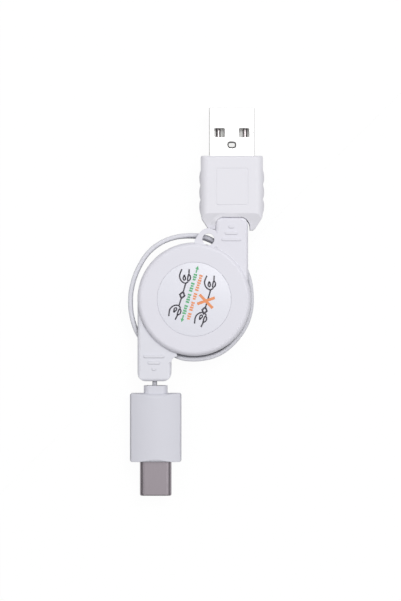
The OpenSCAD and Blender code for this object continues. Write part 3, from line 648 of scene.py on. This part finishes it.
lead_a = cable("cable_lead_a_jacket", smooth(ROUTE_A + A_ENDS), lean_below)
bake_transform(lead_a)
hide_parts("cable_lead_a")
lead_c = cable("cable_lead_c_jacket", smooth(ROUTE_C + C_ENDS), lean_above, pivot=-0.1)
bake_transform(lead_c)
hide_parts("cable_lead_c")
print("leads swept")

# %% [markdown]
# ## The dock's soft edge
# The USB-A plug's soft overmould hugs the arm's tip on the left and at the end, and leaves a narrow
# slot on the right. A lip of the same material closes the dock on the left and at the end. It rises
# from the grip's slope almost to the arm's face, follows the arm's outline at a hair's distance, and
# fades out toward the right. Its edge is sharper than the grip's, so it has a finish of its own.
# Each outline below is its half width, its corner radius and its top, measured from the middle of
# the arm's tip.

# %% Dock edge
ARM_X, ARM_TIP = 9.8, 21.4
GRIP_FACE, GRIP_SLOPE, SLOPE_START = 9.65, 0.395, 22.4
LIP_OUT = (5.7, 3.6, 1.0)
LIP_IN = (4.28, 2.2, 0.03)
PRONG = -3.1
LIP_END = 2.6
LIP_RISE = 0.5
LIP_SKIN = 0.3
DOCK_FLOOR = 3.2
CORNER_STEPS = 24


def dock_line(half, r, top):
    """One side of the lip, from the tip of the left prong over the corner to the right."""
    line = [(-half, PRONG), (-half, top - r)]
    for k in range(CORNER_STEPS):
        turn = math.radians(180 - 90 * (k + 1) / CORNER_STEPS)
        line.append((-half + r + r * math.cos(turn), top - r + r * math.sin(turn)))
    return line + [(0.0, top), (LIP_END, top)]


def slope_z(y):
    """Height of the grip's sloped end, this far up the part from the reel's axis."""
    return GRIP_FACE - GRIP_SLOPE * max(0.0, SLOPE_START - y)


lip = bmesh.new()
lip_rings = []
for (x0, y0), (x1, y1) in zip(dock_line(*LIP_OUT), dock_line(*LIP_IN)):
    outer, inner = (ARM_X + x0, ARM_TIP + y0), (ARM_X + x1, ARM_TIP + y1)
    under = slope_z(outer[1]) - 0.02
    rise = LIP_RISE * (1 - max(0.0, x1) / LIP_END)
    crest = min(ARM_FACE - 0.03, slope_z(inner[1]) + rise)
    lip_rings.append([(outer[0] * MM, outer[1] * MM, under * MM),
                      (inner[0] * MM, inner[1] * MM, crest * MM),
                      (inner[0] * MM, inner[1] * MM, DOCK_FLOOR * MM),
                      (outer[0] * MM, outer[1] * MM, (under - LIP_SKIN) * MM)])
bridge(lip, lip_rings)
finish_piece("usb_a_grip_dock_edge", lip, tpe_lip, "usb_a", smooth_faces=False)
print("dock edge closed")

# %% [markdown]
# ## Floor, world and lamps
# A sheet of white board lies under the cable. It has to look pure white and still hold a faint
# shadow. Rays from the camera, and rays that metal reflects, see mostly a white glow and a little of
# the lit board, while the board lights the object only as much as grey paper does. Where the board
# is closed in, as in the slot beside a docked plug, the glow fades: this is painted shade in such slots.
# The world is a white tent: bright overhead and grey at the horizon, so that round edges turn grey, and
# brighter toward the upper right. A soft lamp on that side gives the forms a direction, and a weak one
# fills the left.

# %% Floor
FLOOR_HALF = 12.0
SLOT_SHADE_REACH = 3

floor_mesh = bmesh.new()
bmesh.ops.create_grid(floor_mesh, x_segments=1, y_segments=1, size=FLOOR_HALF)
board, tree = new_material("white_paperboard")
rays = add(tree, "ShaderNodeLightPath", (-900, 200)).outputs
seen = combine(tree, (-650, 200), "MAXIMUM", rays["Is Camera Ray"], rays["Is Glossy Ray"])
seen = combine(tree, (-450, 200), "MAXIMUM", seen, rays["Is Transmission Ray"])
# Painted shade: the glow fades where ambient occlusion finds the board closed in.
slot_shade_occlusion = add(tree, "ShaderNodeAmbientOcclusion", (-650, 450), {"samples": 12},
               Distance=SLOT_SHADE_REACH * MM)
glow_share_outside_shade = add(tree, "ShaderNodeMapRange", (-450, 450), Value=slot_shade_occlusion.outputs["AO"],
               From_Min=0.12, From_Max=0.4, To_Min=0.0, To_Max=0.88)
share = combine(tree, (-250, 200), "MULTIPLY", seen, glow_share_outside_shade.outputs["Result"])
place = add(tree, "ShaderNodeTexCoord", (-900, -200))
fibres = add(tree, "ShaderNodeTexNoise", (-650, -200), Vector=place.outputs["Object"],
             Scale=per_mm(0.8))
pulp = add(tree, "ShaderNodeMapRange", (-450, -200), Value=fibres.outputs["Fac"],
           To_Min=0.38, To_Max=0.4)
lit = add(tree, "ShaderNodeBsdfDiffuse", (-250, -100), Color=pulp.outputs["Result"])
glow = add(tree, "ShaderNodeEmission", (-250, -300), Color=(1, 1, 1, 1), Strength=1.09)
both = add(tree, "ShaderNodeMixShader", (0, 0))
tree.links.new(share, both.inputs[0])
tree.links.new(lit.outputs[0], both.inputs[1])
tree.links.new(glow.outputs[0], both.inputs[2])
add(tree, "ShaderNodeOutputMaterial", (250, 0), Surface=both.outputs[0])
floor = finish_piece("floor", floor_mesh, board, None, smooth_faces=False)
print(f"floor {2 * FLOOR_HALF:.0f} m wide, darkened in slots over {SLOT_SHADE_REACH} mm")

# %% World
LIGHT_SIDE = Vector((0.5, 0.52, 0.0)).normalized()

world = bpy.data.worlds.new("tent")
bpy.context.scene.world = world
world.use_nodes = True
tree = world.node_tree
tree.nodes.clear()
place = add(tree, "ShaderNodeTexCoord", (-1100, 0))
height = add(tree, "ShaderNodeSeparateXYZ", (-900, 100), Vector=place.outputs["Generated"])
dome = add(tree, "ShaderNodeMapRange", (-700, 100), Value=height.outputs["Z"],
           From_Min=0.5, From_Max=0.95, To_Min=0.25, To_Max=1.03)
toward = add(tree, "ShaderNodeVectorMath", (-900, -150), {"operation": "DOT_PRODUCT"})
tree.links.new(place.outputs["Generated"], toward.inputs[0])
toward.inputs[1].default_value = LIGHT_SIDE
side = add(tree, "ShaderNodeMapRange", (-700, -150), Value=toward.outputs["Value"],
           From_Min=-1.0, From_Max=1.0, To_Min=0.3, To_Max=1.7)
tent = combine(tree, (-450, 0), "MULTIPLY", dome.outputs["Result"], side.outputs["Result"])
cloth = add(tree, "ShaderNodeBackground", (-250, 0), Color=tent)
add(tree, "ShaderNodeOutputWorld", (0, 0), Surface=cloth.outputs[0])
print("the tent is brightest toward", [round(c, 2) for c in LIGHT_SIDE])


# %% Lamps
def soft_lamp(name, place, size, power):
    """A square soft lamp aimed at the reel."""
    data = bpy.data.lights.new(name, "AREA")
    data.size = size
    data.energy = power
    lamp = bpy.data.objects.new(name, data)
    lamp.location = place
    lamp.rotation_mode = "QUATERNION"
    lamp.rotation_quaternion = Vector(place).to_track_quat("Z", "Y")
    bpy.context.scene.collection.objects.link(lamp)


soft_lamp("key_lamp", (0.18, 0.26, 0.77), 0.35, 2.0)
soft_lamp("fill_lamp", (-0.5, 0.15, 0.6), 0.5, 0.65)
bpy.context.scene.view_settings.view_transform = "Standard"
